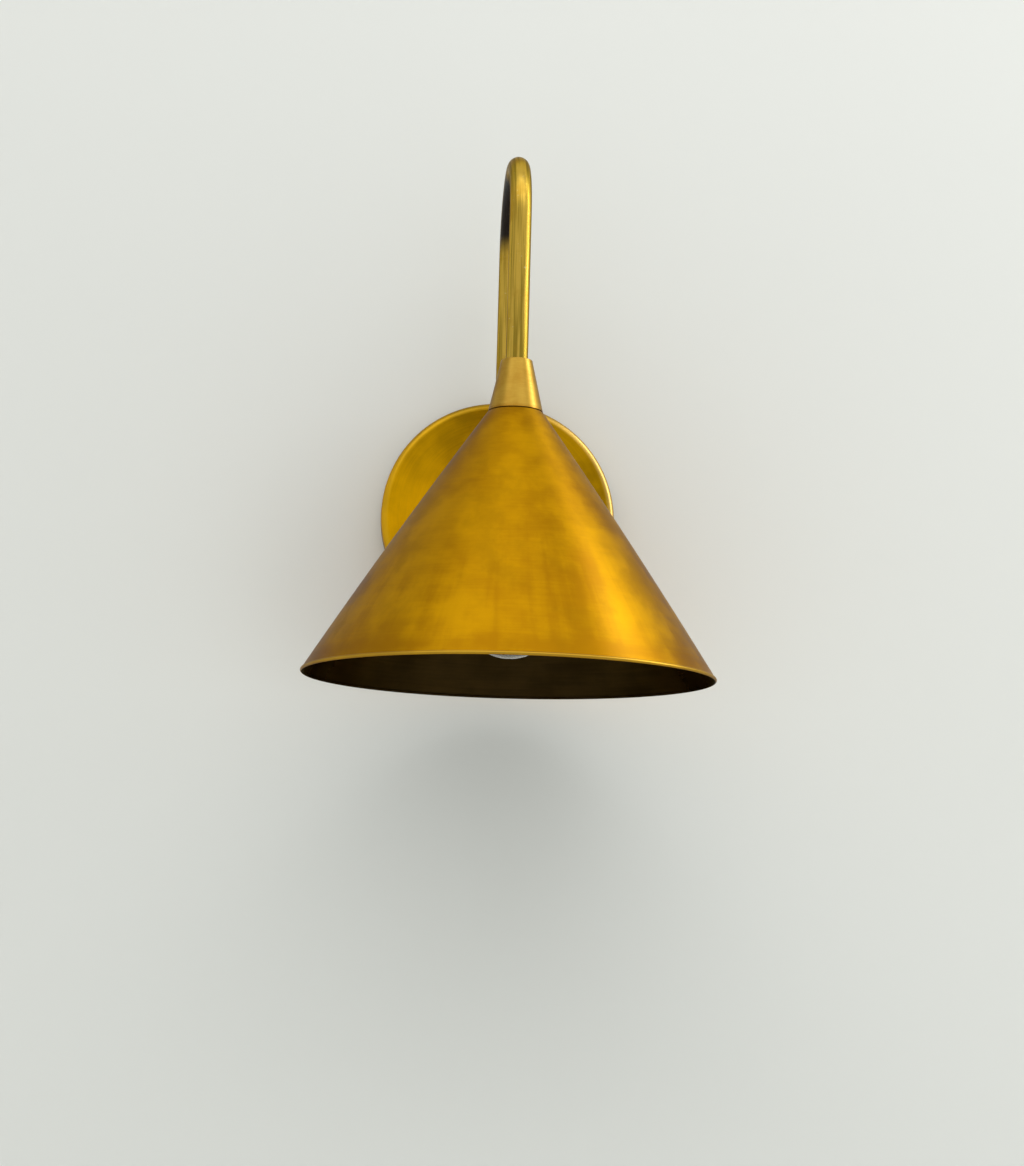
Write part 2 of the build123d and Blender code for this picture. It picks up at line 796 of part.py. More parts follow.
def bulb_filament():
    """Two support wires and the filament between them, as one bent wire."""
    high = stem_low_z
    knee = high - filament_knee
    low = high - filament_drop
    half = filament_span / 2
    root = filament_root / 2
    left = [(-root, 0, high), (-root, 0, knee), (-half, 0, low)]
    right = [(-x, y, z) for x, y, z in reversed(left)]
    path = FilletPolyline(*left, *right, radius=filament_bend_r)
    start = Plane(path @ 0, z_dir=path % 0)
    return at_lamp * sweep(start * Circle(filament_wire_d / 2), path=path)


# ---------------------------------------------------------------- the light, piece by piece
pieces = {
    "wall_plate": wall_plate(),
    "mounting_strap": mounting_strap(),
    "strap_studs": strap_studs(),
    "left_cap_nut": cap_nut(-1),
    "right_cap_nut": cap_nut(1),
    "terminal_block": terminal_block(),
    "terminal_tubes": terminal_tubes(),
    "terminal_screws": terminal_screws(),
    "block_screw": block_screw(),
    "earth_screw": earth_screw(),
    "earth_washer": earth_washer(),
    "earth_tag": earth_tag(),
    "earth_lead": earth_lead(),
    "arm_hub": arm_hub(),
    "arm_tube": arm_tube(),
    "wall_nipple": wall_nipple(),
    "wall_lock_washer": wall_lock_washer(),
    "wall_lock_nut": wall_lock_nut(),
    "live_lead": live_lead(),
    "neutral_lead": neutral_lead(),
    "shade_nipple": shade_nipple(),
    "collar": collar(),
    "collar_grub_screw": collar_grub_screw(),
    "upper_lock_nut": upper_lock_nut(),
    "shade": shade(),
    "shade_washer": shade_washer(),
    "lower_lock_nut": lower_lock_nut(),
    "socket_cap": socket_cap(),
    "socket_cap_screw": socket_cap_screw(),
    "socket_core": socket_core(),
    "shell_rivets": shell_rivets(),
    "screw_shell": screw_shell(),
    "socket_skirt": socket_skirt(),
    "socket_terminals": socket_terminals(),
    "socket_terminal_screws": socket_terminal_screws(),
    "centre_contact": centre_contact(),
    "contact_spring": contact_spring(),
    "bulb_globe": bulb_globe(),
    "bulb_cap": bulb_cap(),
    "bulb_insulator": bulb_insulator(),
    "bulb_contact": bulb_contact(),
    "bulb_stem": bulb_stem(),
    "bulb_filament": bulb_filament(),
}

os.makedirs("parts", exist_ok=True)
for name, piece in pieces.items():
    export_step(piece, f"parts/{name}.step")
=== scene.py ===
"""A brass wall light: its finishes, its turned and bent pieces, and the plain studio round it."""

import json
import math

import bmesh
import bpy
from mathutils import Matrix, Vector


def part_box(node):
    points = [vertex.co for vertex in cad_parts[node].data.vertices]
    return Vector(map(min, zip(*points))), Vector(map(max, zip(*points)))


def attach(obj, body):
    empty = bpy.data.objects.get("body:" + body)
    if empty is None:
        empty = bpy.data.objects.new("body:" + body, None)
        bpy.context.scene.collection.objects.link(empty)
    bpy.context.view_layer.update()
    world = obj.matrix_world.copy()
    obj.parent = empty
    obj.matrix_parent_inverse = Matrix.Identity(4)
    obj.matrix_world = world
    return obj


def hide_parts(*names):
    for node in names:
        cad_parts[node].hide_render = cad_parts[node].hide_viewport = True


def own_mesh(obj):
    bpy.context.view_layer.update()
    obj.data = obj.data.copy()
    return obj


bl_info = {
    "name": "Gooseneck Wall Light",
    "version": (1, 0, 0),
    "blender": (4, 5, 0),
    "location": "View3D > Sidebar > Wall Light",
    "description": "Builds the visible pieces of a brass wall light with a cone shade",
    "category": "Object",
}

MM = 0.001
TURN = 2 * math.pi
WELD = 0.001 * MM  # vertices nearer than this are one
UP = Vector((0, 0, 1))

# Faces that the pieces are divided into
CORNER_FACES = 6  # along a rounded corner
NIPPLE_THREAD_FACES = 6  # along one pitch of a nipple's thread
BULB_THREAD_FACES = 12  # along one pitch of the bulb's thread
WIRE_FACETS = 16  # round the spring's wire
COIL_FACES = 32  # along one turn of the spring
STAGE_FACETS = 128  # round the wall and the floor

# The view: the camera's lens in mm, its turns in degrees, and the brightness of the room
CAMERA_LENS = 64.6
CAMERA_PLACE = (-80.3 * MM, -1127.0 * MM, -206.7 * MM)
CAMERA_YAW, CAMERA_PITCH, CAMERA_ROLL = 4.55, 8.69, 1.53
ROOM_STRENGTH = 0.72

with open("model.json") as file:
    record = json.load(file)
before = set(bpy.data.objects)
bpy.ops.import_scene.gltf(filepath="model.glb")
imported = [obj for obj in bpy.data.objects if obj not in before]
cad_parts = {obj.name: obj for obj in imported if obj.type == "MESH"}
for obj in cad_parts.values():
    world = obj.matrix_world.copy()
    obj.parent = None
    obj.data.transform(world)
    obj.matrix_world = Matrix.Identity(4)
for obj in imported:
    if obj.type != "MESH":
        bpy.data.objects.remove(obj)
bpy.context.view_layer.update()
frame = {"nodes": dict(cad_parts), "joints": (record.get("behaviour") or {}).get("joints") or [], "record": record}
low = {node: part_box(node)[0] for node in frame["nodes"]}
high = {node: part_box(node)[1] for node in frame["nodes"]}

LAMP_Y = (low["shade"].y + high["shade"].y) / 2
AT_LAMP = Matrix.Translation((0, LAMP_Y, 0))
AT_WALL = Matrix.Rotation(math.pi / 2, 4, "X")  # +Z then points out from the wall


def size(name, description, default):
    return bpy.props.FloatProperty(
        name=name, description=description, default=default, unit="LENGTH", precision=4
    )


def colour(name, description, default):
    return bpy.props.FloatVectorProperty(
        name=name, description=description, default=default, subtype="COLOR", size=3, min=0, max=1
    )


class WallLightSizes(bpy.types.PropertyGroup):
    """Sizes of the pieces that are shaped here."""

    facets: bpy.props.IntProperty(
        name="Facets", description="Faces round a large turned piece", default=192, min=24
    )
    small_facets: bpy.props.IntProperty(
        name="Small facets", description="Faces round a small turned piece", default=72, min=12
    )
    sheet: size("Shade sheet", "Thickness of the shade's metal", 1.0 * MM)
    bead: size("Rim bead", "Diameter of the bead along the rim", 1.7 * MM)
    belly: size("Belly", "How far the shade's side swells past a cone", 1.0 * MM)
    neck: size("Neck", "Diameter of the shade's top", 27.4 * MM)
    tube_wall: size("Tube wall", "Thickness of the arm's wall", 1.0 * MM)
    shade_step: size("Shade step", "Height of the shade's faces", 6.0 * MM)
    tube_step: size("Tube step", "Length of the arm's faces where it is straight", 6.0 * MM)
    lower_bend: size("Lower bend", "Radius of the arm's bend near the wall", 20.0 * MM)
    stub: size("Stub", "Straight tube between the hub and the lower bend", 0.4 * MM)


class WallLightColours(bpy.types.PropertyGroup):
    """Colours of the finishes."""

    brass: colour("Brass", "Clean brass of the shade", (0.485, 0.242, 0.0))
    patina: colour("Patina", "Darker patches of the shade", (0.325, 0.144, 0.0))
    smoke: colour("Smoke", "Smoky blotches of the shade", (0.25, 0.114, 0.0))
    plate: colour("Plate brass", "Brass of the wall plate", (0.88, 0.46, 0.0))
    # Painted shade: this darker brass stands in for the shade on the plate's upper part.
    plate_dull: colour("Dull plate brass", "Brass of the plate's top", (0.33, 0.175, 0.0))
    straw: colour("Straw brass", "Polished brass of the arm", (0.65, 0.42, 0.06))
    olive: colour("Olive", "Tarnish in streaks along the arm", (0.25, 0.17, 0.012))
    blotch: colour("Blotch", "Browner blotches of the arm", (0.42, 0.24, 0.02))
    # Also a painted highlight: the plate's rounded edge on its right.
    worn: colour("Worn brass", "Specks and edges rubbed bright", (0.86, 0.76, 0.45))
    collar: colour("Collar brass", "Brass of the collar", (0.46, 0.275, 0.03))
    # Painted shade: dark brass for the inside of the shade, where little light falls.
    bronze: colour("Bronze", "Dark inside of the shade", (0.036, 0.021, 0.006))
    # Painted shade: stands in for the dark reflection inside the arm's arch.
    heat: colour("Heat stain", "Dark stain inside the arm's arch", (0.012, 0.007, 0.004))
    backdrop: colour("Backdrop", "Wall and floor", (0.86, 0.87, 0.845))


def sizes():
    return bpy.context.scene.wall_light_sizes


def colours():
    return bpy.context.scene.wall_light_colours


# ---------------------------------------------------------------- shader maths
class Value:
    """A shader value that adds a node for each Python operation on it."""

    def __init__(self, finish, socket):
        self.finish = finish
        self.socket = socket

    def math(self, operation, *others):
        return self.finish.node("ShaderNodeMath", {"operation": operation}, self, *others)

    def __add__(self, other):
        return self.math("ADD", other)

    def __sub__(self, other):
        return self.math("SUBTRACT", other)

    def __mul__(self, other):
        return self.math("MULTIPLY", other)

    def __truediv__(self, other):
        return self.math("DIVIDE", other)

    def __rsub__(self, other):
        return self.finish.node("ShaderNodeMath", {"operation": "SUBTRACT"}, other, self)

    __radd__ = __add__

    def rise(self, start, end):
        """Smooth rise from 0 at start to 1 at end."""
        settings = {"interpolation_type": "SMOOTHSTEP"}
        return self.finish.node("ShaderNodeMapRange", settings, self, start, end)

    def band(self, centre, half_width):
        """1 at centre, fading to 0 at half_width either side."""
        return 1 - (self - centre).math("ABSOLUTE").rise(0, half_width)


class Finish:
    """A material in the making."""

    def __init__(self, name):
        self.material = bpy.data.materials.new(name)
        self.material.use_nodes = True
        self.tree = self.material.node_tree
        self.tree.nodes.clear()

    def node(self, kind, settings, *places, output=0, **sockets):
        """Adds a node: its settings first, then its sockets by place or by name."""
        made = self.tree.nodes.new(kind)
        for key, value in settings.items():
            setattr(made, key, value)
        for place, value in enumerate(places):
            self.join(made.inputs[place], value)
        for key, value in sockets.items():
            self.join(made.inputs[key.replace("_", " ")], value)
        return Value(self, made.outputs[output])

    def join(self, socket, value):
        if isinstance(value, Value):
            self.tree.links.new(value.socket, socket)
        elif socket.type == "RGBA":
            socket.default_value = (*value, 1)
        else:
            socket.default_value = value

    def point(self):
        """The x, y and z of the point on the piece, in metres."""
        return self.parts(self.node("ShaderNodeTexCoord", {}, output="Object"))

    def attribute(self, name):
        """The x, y and z of an attribute of the piece's mesh."""
        settings = {"attribute_name": name}
        return self.parts(self.node("ShaderNodeAttribute", settings, output="Vector"))

    def parts(self, vector):
        split = self.node("ShaderNodeSeparateXYZ", {}, vector).socket.node
        return [Value(self, output) for output in split.outputs]

    def noise(self, x, y, z, detail=3.0, roughness=0.5):
        """Noise from 0 to 1 whose grain is one unit of x, y and z long."""
        place = self.node("ShaderNodeCombineXYZ", {}, x, y, z)
        return self.node(
            "ShaderNodeTexNoise", {}, Vector=place, Scale=1.0, Detail=detail, Roughness=roughness
        )

    def mix(self, share, first, second):
        """A colour between two colours."""
        made = self.node("ShaderNodeMix", {"data_type": "RGBA"}, output=2)
        inputs = made.socket.node.inputs
        for place, value in ((0, share), (6, first), (7, second)):
            self.join(inputs[place], value)
        return made

    def bump(self, height, distance, strength=1.0):
        return self.node(
            "ShaderNodeBump", {}, Strength=strength, Distance=distance, Height=height
        )

    def surface(self, **sockets):
        """Ends the material in one Principled shader."""
        shader = self.node("ShaderNodeBsdfPrincipled", {}, **sockets)
        return self.ended(shader)

    def ended(self, shader):
        output = self.tree.nodes.new("ShaderNodeOutputMaterial")
        self.join(output.inputs["Surface"], shader)
        return self.material


# ---------------------------------------------------------------- finishes
def round_lamp(finish):
    """The direction round the lamp's axis, as a pair of parts, and the height."""
    x, y, z = finish.point()
    y = y - LAMP_Y
    radius = (x * x + y * y).math("SQRT")
    return (x / radius, y / radius), z


def round_wall(finish):
    """The direction round the plate's axis, as a pair of parts, and the distance from it."""
    x, _, z = finish.point()
    radius = (x * x + z * z).math("SQRT").math("MAXIMUM", MM)
    return (x / radius, z / radius), radius


def darker(base, share=0.85):
    """A colour with a share of another's brightness."""
    return tuple(part * share for part in base)


def patches(finish, grain, detail=4.0):
    """Cloudy patches from 0 to 1, each about one grain across."""
    x, y, z = finish.point()
    return finish.noise(x / grain, y / grain, z / grain, detail, 0.55)


def lines(finish, across, along, width, length):
    """Fine lines round a turned piece: their width and, as a share of its radius, their length."""
    east, north = across
    return finish.noise(east / length, north / length, along / width, 4.0, 0.6)


def shade_finish():
    """Spun brass with cloudy patina, smoky blotches, faint runs down it and fine lines round it."""
    finish = Finish("shade_brass")
    look = colours()
    across, z = round_lamp(finish)
    east, north = across
    bottom, top = low["shade"].z, high["shade"].z
    cloud = patches(finish, 48 * MM, 3.0)
    mottle = patches(finish, 13 * MM, 4.0)
    smoke = patches(finish, 24 * MM, 5.0)
    brushed = lines(finish, across, z, width=1.3 * MM, length=0.32)
    scratch = lines(finish, across, z, width=0.35 * MM, length=0.5)
    runs = finish.noise(east * 9, north * 9, z / (110 * MM), 3.0, 0.6)
    worn_rim = z.band(centre=bottom + 0.9 * MM, half_width=1.2 * MM)
    dull_rim = z.band(centre=bottom + 5 * MM, half_width=7 * MM)
    bright_rim = z.band(centre=bottom + 24 * MM, half_width=14 * MM)
    low_runs = runs.rise(0.45, 0.7) * z.band(centre=bottom + 30 * MM, half_width=55 * MM)
    dull_neck = z.rise(top - 22 * MM, top)
    tone = cloud.rise(0.35, 0.65) * 0.45 + mottle.rise(0.35, 0.7) * 0.3
    tone = tone + brushed.rise(0.3, 0.7) * 0.15
    tone = tone + 0.15 - dull_rim * 0.35 + bright_rim * 0.2 - dull_neck * 0.25 - low_runs * 0.28
    base = finish.mix(tone.rise(0.0, 1.0), look.patina, look.brass)
    base = finish.mix(smoke.rise(0.5, 0.68) * 0.4, base, look.smoke)
    base = finish.mix(worn_rim * 0.5, base, look.straw)
    return finish.surface(
        Base_Color=base,
        Metallic=1.0,
        Roughness=0.395 + (brushed - 0.5) * 0.1 + (mottle - 0.5) * 0.16 + (smoke - 0.5) * 0.1,
        Specular_Tint=(0.42, 0.47, 0.6),
        Coat_Weight=0.035,
        Coat_Roughness=0.25,
        Normal=finish.bump(scratch + brushed * 1.5, 0.03 * MM, 0.5),
    )


def shaded_inside_finish():
    """Unpolished inside of the shade, its brass darkened as painted shade."""
    finish = Finish("shade_inside")
    bronze = colours().bronze
    across, z = round_lamp(finish)
    cloud = patches(finish, 22 * MM)
    brushed = lines(finish, across, z, width=1.6 * MM, length=0.4)
    tone = cloud * 0.6 + brushed * 0.4
    # Painted shade: the inside is darkened well below the brass outside.
    base = finish.mix(tone.rise(0.3, 0.7), darker(bronze, 0.45), bronze)
    return finish.surface(
        Base_Color=base,
        Metallic=1.0,
        Roughness=0.5 + (cloud - 0.5) * 0.2,
        Specular_Tint=(0.3, 0.26, 0.12),
        Normal=finish.bump(brushed, 0.03 * MM, 0.4),
    )


def plate_finish():
    """Brushed plate with lines round its middle; painted shade darkens it towards the top and at the wall, and a
    painted highlight lightens its rounded edge.
    """
    finish = Finish("plate_brass")
    look = colours()
    across, radius = round_wall(finish)
    x, depth, z = finish.point()
    cloud = patches(finish, 30 * MM)
    brushed = lines(finish, across, radius, width=0.9 * MM, length=0.4)
    edge_r = high["wall_plate"].x
    front = low["wall_plate"].y
    # Painted shade: darker towards the top and the right, near the shade; the cloudy patches add the brass's own
    # uneven tone.
    top_shade_and_tone = (z + x * 0.5).rise(-25 * MM, 45 * MM) * 0.65 + cloud.rise(0.35, 0.65) * 0.35
    top_shade_and_tone = top_shade_and_tone + (brushed.rise(0.3, 0.7) - 0.5) * 0.12
    near_front = 1 - depth.rise(front + 3 * MM, front + 6 * MM)
    shoulder = radius.rise(edge_r - 4.5 * MM, edge_r - 1.5 * MM) * near_front
    right_rim_highlight = shoulder * x.rise(10 * MM, 45 * MM)
    # Painted shade on the plate's side towards the wall, in the dark inside colour.
    wall_shade = depth.rise(front + 5 * MM, front + 9 * MM)
    base = finish.mix(top_shade_and_tone, look.plate, look.plate_dull)
    # Painted highlight: straw on the rounded edge, and the bright colour on its right side.
    base = finish.mix(shoulder * 0.2, base, look.straw)
    base = finish.mix(right_rim_highlight * 0.2, base, look.worn)
    base = finish.mix(wall_shade * 0.6, base, look.bronze)
    return finish.surface(
        Base_Color=base,
        Metallic=1.0,
        Roughness=0.4 + (brushed - 0.5) * 0.12,
        Specular_Tint=(0.6, 0.6, 0.6),
        Coat_Weight=0.05,
        Coat_Roughness=0.3,
        Normal=finish.bump(brushed, 0.02 * MM, 0.5),
    )


def collar_finish():
    """Turned collar, lighter than the shade."""
    finish = Finish("collar_brass")
    look = colours()
    across, z = round_lamp(finish)
    cloud = patches(finish, 8 * MM)
    brushed = lines(finish, across, z, width=0.7 * MM, length=0.5)
    dull_foot = z.band(centre=low["collar"].z, half_width=2.2 * MM)
    tone = cloud.rise(0.35, 0.7) * 0.35 + brushed.rise(0.3, 0.7) * 0.2 + dull_foot * 0.5
    return finish.surface(
        Base_Color=finish.mix(tone, look.collar, look.patina),
        Metallic=1.0,
        Roughness=0.38 + (brushed - 0.5) * 0.16,
        Specular_Tint=(0.4, 0.42, 0.5),
        Coat_Weight=0.3,
        Coat_Roughness=0.3,
        Normal=finish.bump(brushed, 0.02 * MM, 0.5),
    )


def arm_arch():
    """Depth and height of the middle of the arm's arch, and the radius of its middle line."""
    given = sizes()
    tube_r = high["arm_tube"].x
    rear_y = low["arm_hub"].y - given.stub - given.lower_bend
    front_y = low["arm_tube"].y + tube_r
    arch_r = (rear_y - front_y) / 2
    return front_y + arch_r, high["arm_tube"].z - tube_r - arch_r, arch_r


def arm_finish():
    """Hand-polished tube with streaks of tarnish along it, and painted shade inside the arch for its dark
    reflection.
    """
    finish = Finish("arm_brass")
    look = colours()
    _, y, z = finish.point()
    east, north, along = finish.attribute("tube_place")
    streak = finish.noise(east * 3.6, north * 3.6, along / (70 * MM), 3.0, 0.5)
    fine = finish.noise(east * 16, north * 16, along / (22 * MM), 3.0, 0.6)
    blotch = patches(finish, 16 * MM, 3.0)
    speck = patches(finish, 1.6 * MM, 2.0)
    arch_y, arch_z, _ = arm_arch()
    # Painted shade: dark inside the arch, high up and far back, for the reflection of the dark room below.
    inside = (0 - north).rise(-0.35, 0.45)
    high_up = z.rise(arch_z - 4 * MM, arch_z + 9 * MM)
    far_back = y.rise(arch_y - 6 * MM, arch_y + 8 * MM)
    shading = inside * high_up * far_back
    base = finish.mix(streak.rise(0.42, 0.6) * 0.85, look.straw, look.olive)
    base = finish.mix(fine.rise(0.5, 0.75) * 0.35, base, look.olive)
    base = finish.mix(blotch.rise(0.48, 0.66) * 0.65, base, look.blotch)
    base = finish.mix(speck.rise(0.69, 0.75) * 0.4, base, look.worn)
    base = finish.mix(shading, base, look.heat)
    return finish.surface(
        Base_Color=base,
        Metallic=1.0 - shading * 0.5,
        Roughness=0.33 + (fine - 0.5) * 0.16 + (streak - 0.5) * 0.2,
        Specular_Tint=(0.35, 0.32, 0.3),
        Coat_Weight=0.12,
        Coat_Roughness=0.3,
        Normal=finish.bump(fine + speck * 0.3, 0.04 * MM, 0.5),
    )


def metal_finish(name, base, roughness, grain):
    """Small machined metal pieces, a little uneven."""
    finish = Finish(name)
    cloud = patches(finish, grain)
    fine = patches(finish, grain / 12, 2.0)
    return finish.surface(
        Base_Color=finish.mix(cloud.rise(0.3, 0.7), darker(base), base),
        Metallic=1.0,
        Roughness=roughness + (cloud - 0.5) * 0.2,
        Normal=finish.bump(fine, 0.01 * MM, 0.4),
    )


def coated_finish(name, base, roughness, grain):
    """Small plastic, porcelain and glazed pieces."""
    finish = Finish(name)
    cloud = patches(finish, grain)
    fine = patches(finish, grain / 10, 2.0)
    return finish.surface(
        Base_Color=finish.mix(cloud.rise(0.3, 0.7), darker(base), base),
        Roughness=roughness + (fine - 0.5) * 0.1,
        Normal=finish.bump(fine, 0.02 * MM, 0.4),
    )


def bulb_finish():
    """Clear, faintly smoked glass of the bulb."""
    finish = Finish("bulb_glass")
    cloud = patches(finish, 14 * MM)
    base = finish.mix(cloud.rise(0.3, 0.7), (0.66, 0.61, 0.53), (0.78, 0.74, 0.66))
    return finish.surface(
        Base_Color=base, Roughness=0.04 + cloud * 0.05, Transmission_Weight=1.0, IOR=1.45
    )


def clear_finish():
    """Clear glass of the bulb's stem."""
    finish = Finish("clear_glass")
    cloud = patches(finish, 6 * MM)
    base = finish.mix(cloud, (0.92, 0.95, 0.94), (0.97, 0.98, 0.98))
    return finish.surface(
        Base_Color=base, Roughness=0.05 + cloud * 0.05, Transmission_Weight=0.9, IOR=1.5
    )


# Colour, roughness and grain of the small pieces' finishes, by the record's material slot
METALS = {
    "turned_brass": ((0.66, 0.44, 0.10), 0.26, 6 * MM),
    "zinc_steel": ((0.62, 0.64, 0.66), 0.36, 7 * MM),
    "spring_steel": ((0.50, 0.51, 0.53), 0.30, 2 * MM),
    "nickel": ((0.72, 0.69, 0.63), 0.24, 8 * MM),
    "tungsten": ((0.30, 0.30, 0.31), 0.5, 2 * MM),
}
COATINGS = {
    "black_bakelite": ((0.022, 0.020, 0.019), 0.22, 9 * MM),
    "porcelain": ((0.84, 0.82, 0.76), 0.16, 8 * MM),
    "block_plastic": ((0.80, 0.80, 0.77), 0.45, 5 * MM),
    "live_insulation": ((0.22, 0.10, 0.045), 0.4, 4 * MM),
    "neutral_insulation": ((0.05, 0.16, 0.42), 0.4, 4 * MM),
    "earth_insulation": ((0.20, 0.45, 0.08), 0.4, 4 * MM),
    "black_glass": ((0.012, 0.012, 0.018), 0.12, 5 * MM),
}


def plain_finishes():
    """Finishes of the pieces whose shape is taken as it is, by the record's material slot."""
    finishes = {slot: metal_finish(slot, *look) for slot, look in METALS.items()}
    finishes |= {slot: coated_finish(slot, *look) for slot, look in COATINGS.items()}
    return finishes | {
        "arm_brass": metal_finish("hub_brass", (0.64, 0.44, 0.11), roughness=0.28, grain=8 * MM),
        "plate_brass": plate_finish(),
        "shade_brass": shade_finish(),
        "collar_brass": collar_finish(),
        "bulb_glass": bulb_finish(),
        "clear_glass": clear_finish(),
    }


# ---------------------------------------------------------------- shapes
def outline(bm, *corners):
    """Draws a closed line through (radius, height) corners; a third number rounds its corner."""
    verts = [bm.verts.new((corner[0], 0, corner[1])) for corner in corners]
    for first, second in zip(verts, verts[1:] + verts[:1]):
        bm.edges.new((first, second))
    for vert, corner in zip(verts, corners):
        if len(corner) > 2:
            rounded(bm, vert, corner[2])


def rounded(bm, vert, radius):
    bmesh.ops.bevel(
        bm, geom=[vert], offset=radius, affect="VERTICES", segments=CORNER_FACES, profile=0.5,
        material=-1,
    )


def divided(bm, longest):
    """Divides every edge that is longer than longest."""
    for edge in bm.edges[:]:
        cuts = math.ceil(edge.calc_length() / longest) - 1
        if cuts:
            bmesh.ops.subdivide_edges(bm, edges=[edge], cuts=cuts)


def turned(bm, facets):
    """Turns what is drawn once round z, into a closed shell."""
    drawn = bm.verts[:] + bm.edges[:]
    bmesh.ops.spin(
        bm, geom=drawn, cent=(0, 0, 0), axis=UP, angle=TURN, steps=facets, use_merge=True
    )
    closed_up(bm)


def closed_up(bm):
    bmesh.ops.remove_doubles(bm, verts=bm.verts, dist=WELD)
    bmesh.ops.recalc_face_normals(bm, faces=bm.faces)


def threaded(bm, pitch, depth, start, end, inner_r=0):
    """Rolls a right-hand thread into the walls outside inner_r, between two heights."""
    for vert in bm.verts:
        x, y, z = vert.co
        radius = math.hypot(x, y)
        if radius > inner_r and start < z < end:
            wave = (1 - math.cos(TURN * z / pitch - math.atan2(y, x))) / 2
            run_out = min(1, (z - start) / pitch, (end - z) / pitch)
            vert.co -= Vector((x, y, 0)) * (depth * wave * run_out / radius)


def moved(bm, place):
    bmesh.ops.transform(bm, matrix=place, verts=bm.verts)


def linked(bm, name, finishes):
    """Makes an object of a bmesh."""
    mesh = bpy.data.meshes.new(name)
    bm.to_mesh(mesh)
    bm.free()
    for finish in finishes:
        mesh.materials.append(finish)
    made = bpy.data.objects.new(name, mesh)
    bpy.context.scene.collection.objects.link(made)
    return made


def finished(bm, name, body, replaced, finishes, crease=30):
    """Makes a smooth piece of a bmesh, creased where it turns by more than crease degrees."""
    for face in bm.faces:
        face.smooth = True
    for edge in bm.edges:
        edge.smooth = edge.calc_face_angle(0) < math.radians(crease)
    piece = linked(bm, name, finishes)
    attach(piece, body)
    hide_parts(*replaced)
    return piece


def area_lamp(name, place, target, width, height, radiance):
    """A soft panel that faces the target; its radiance is the brightness of its face."""
    lamp = bpy.data.lights.new(name, "AREA")
    lamp.shape = "RECTANGLE"
    lamp.size, lamp.size_y = width, height
    lamp.energy = radiance * math.pi * width * height
    panel = bpy.data.objects.new(name, lamp)
    bpy.context.scene.collection.objects.link(panel)
    facing = (target - place).to_track_quat("-Z", "Y").to_matrix().to_4x4()
    panel.matrix_world = Matrix.Translation(place) @ facing


# ---------------------------------------------------------------- operators
class WALLLIGHT_OT_fittings(bpy.types.Operator):
    """Give every piece whose shape is taken as it is the finish of its material slot"""

    bl_idname = "wall_light.fittings"
    bl_label = "Finish fittings"

    def execute(self, context):
        finishes = plain_finishes()
        for subpart in frame["record"]["subparts"]:
            piece = frame["nodes"][subpart["node"]]
            piece.data.materials.clear()
            piece.data.materials.append(finishes[subpart["material_slot"]])
        return {"FINISHED"}


class WALLLIGHT_OT_shade(bpy.types.Operator):
    """Spin the cone shade, with a flat top, a slight belly and a rolled rim"""

    bl_idname = "wall_light.shade"
    bl_label = "Spin shade"

    hole_r: size("Hole", "Radius of the hole in the shade's top", 5.08 * MM)
    shoulder: size("Shoulder", "Rounding between the top and the side", 0.6 * MM)

    def execute(self, context):
        given = sizes()
        top, bottom = high["shade"].z, low["shade"].z
        half = given.sheet / 2
        bead_r = given.bead / 2
        flare, fillet, roll = bead_r / 2, bead_r / 5, bead_r * 0.95
        neck = Vector((given.neck / 2, top))
        bead = Vector((high["shade"].x - bead_r, bottom + bead_r))
        down = (bead - neck).normalized()
        out = Vector((-down.y, down.x))

        def by_bead(outward, downward):
            return bead + out * outward + down * downward

        inside_top = top - given.sheet
        reach = given.sheet * (1 - down.x) / -down.y
        bm = bmesh.new()
        outline(
            bm,
            (self.hole_r, top),
            (*neck, self.shoulder),
            by_bead(half, -bead_r),
            (*by_bead(bead_r, -flare), fillet),
            (*by_bead(bead_r, bead_r), roll),
            (*by_bead(-bead_r, bead_r), roll),
            (*by_bead(-bead_r, -flare), fillet),
            by_bead(-half, -bead_r),
            (neck.x - reach, inside_top),
            (self.hole_r, inside_top),
        )
        divided(bm, given.shade_step)
        slant = (bead - neck).length
        for vert in bm.verts:
            share = (Vector((vert.co.x, vert.co.z)) - neck).dot(down) / slant
            if 0 < share < 1:
                swell = out * (4 * given.belly * share * (1 - share))
                vert.co += Vector((swell.x, 0, swell.y))
        turned(bm, given.facets)
        inward = -0.2  # share of a normal along the outward way, below which a face is inside
        for face in bm.faces:
            middle = face.calc_center_median()
            outward = Vector((middle.x, middle.y, 0)).normalized() * out.x + UP * out.y
            face.material_index = int(face.normal.dot(outward) < inward)
        moved(bm, AT_LAMP)
        finishes = [shade_finish(), shaded_inside_finish()]
        finished(bm, "spun_shade", "shade", ["shade"], finishes)
        return {"FINISHED"}


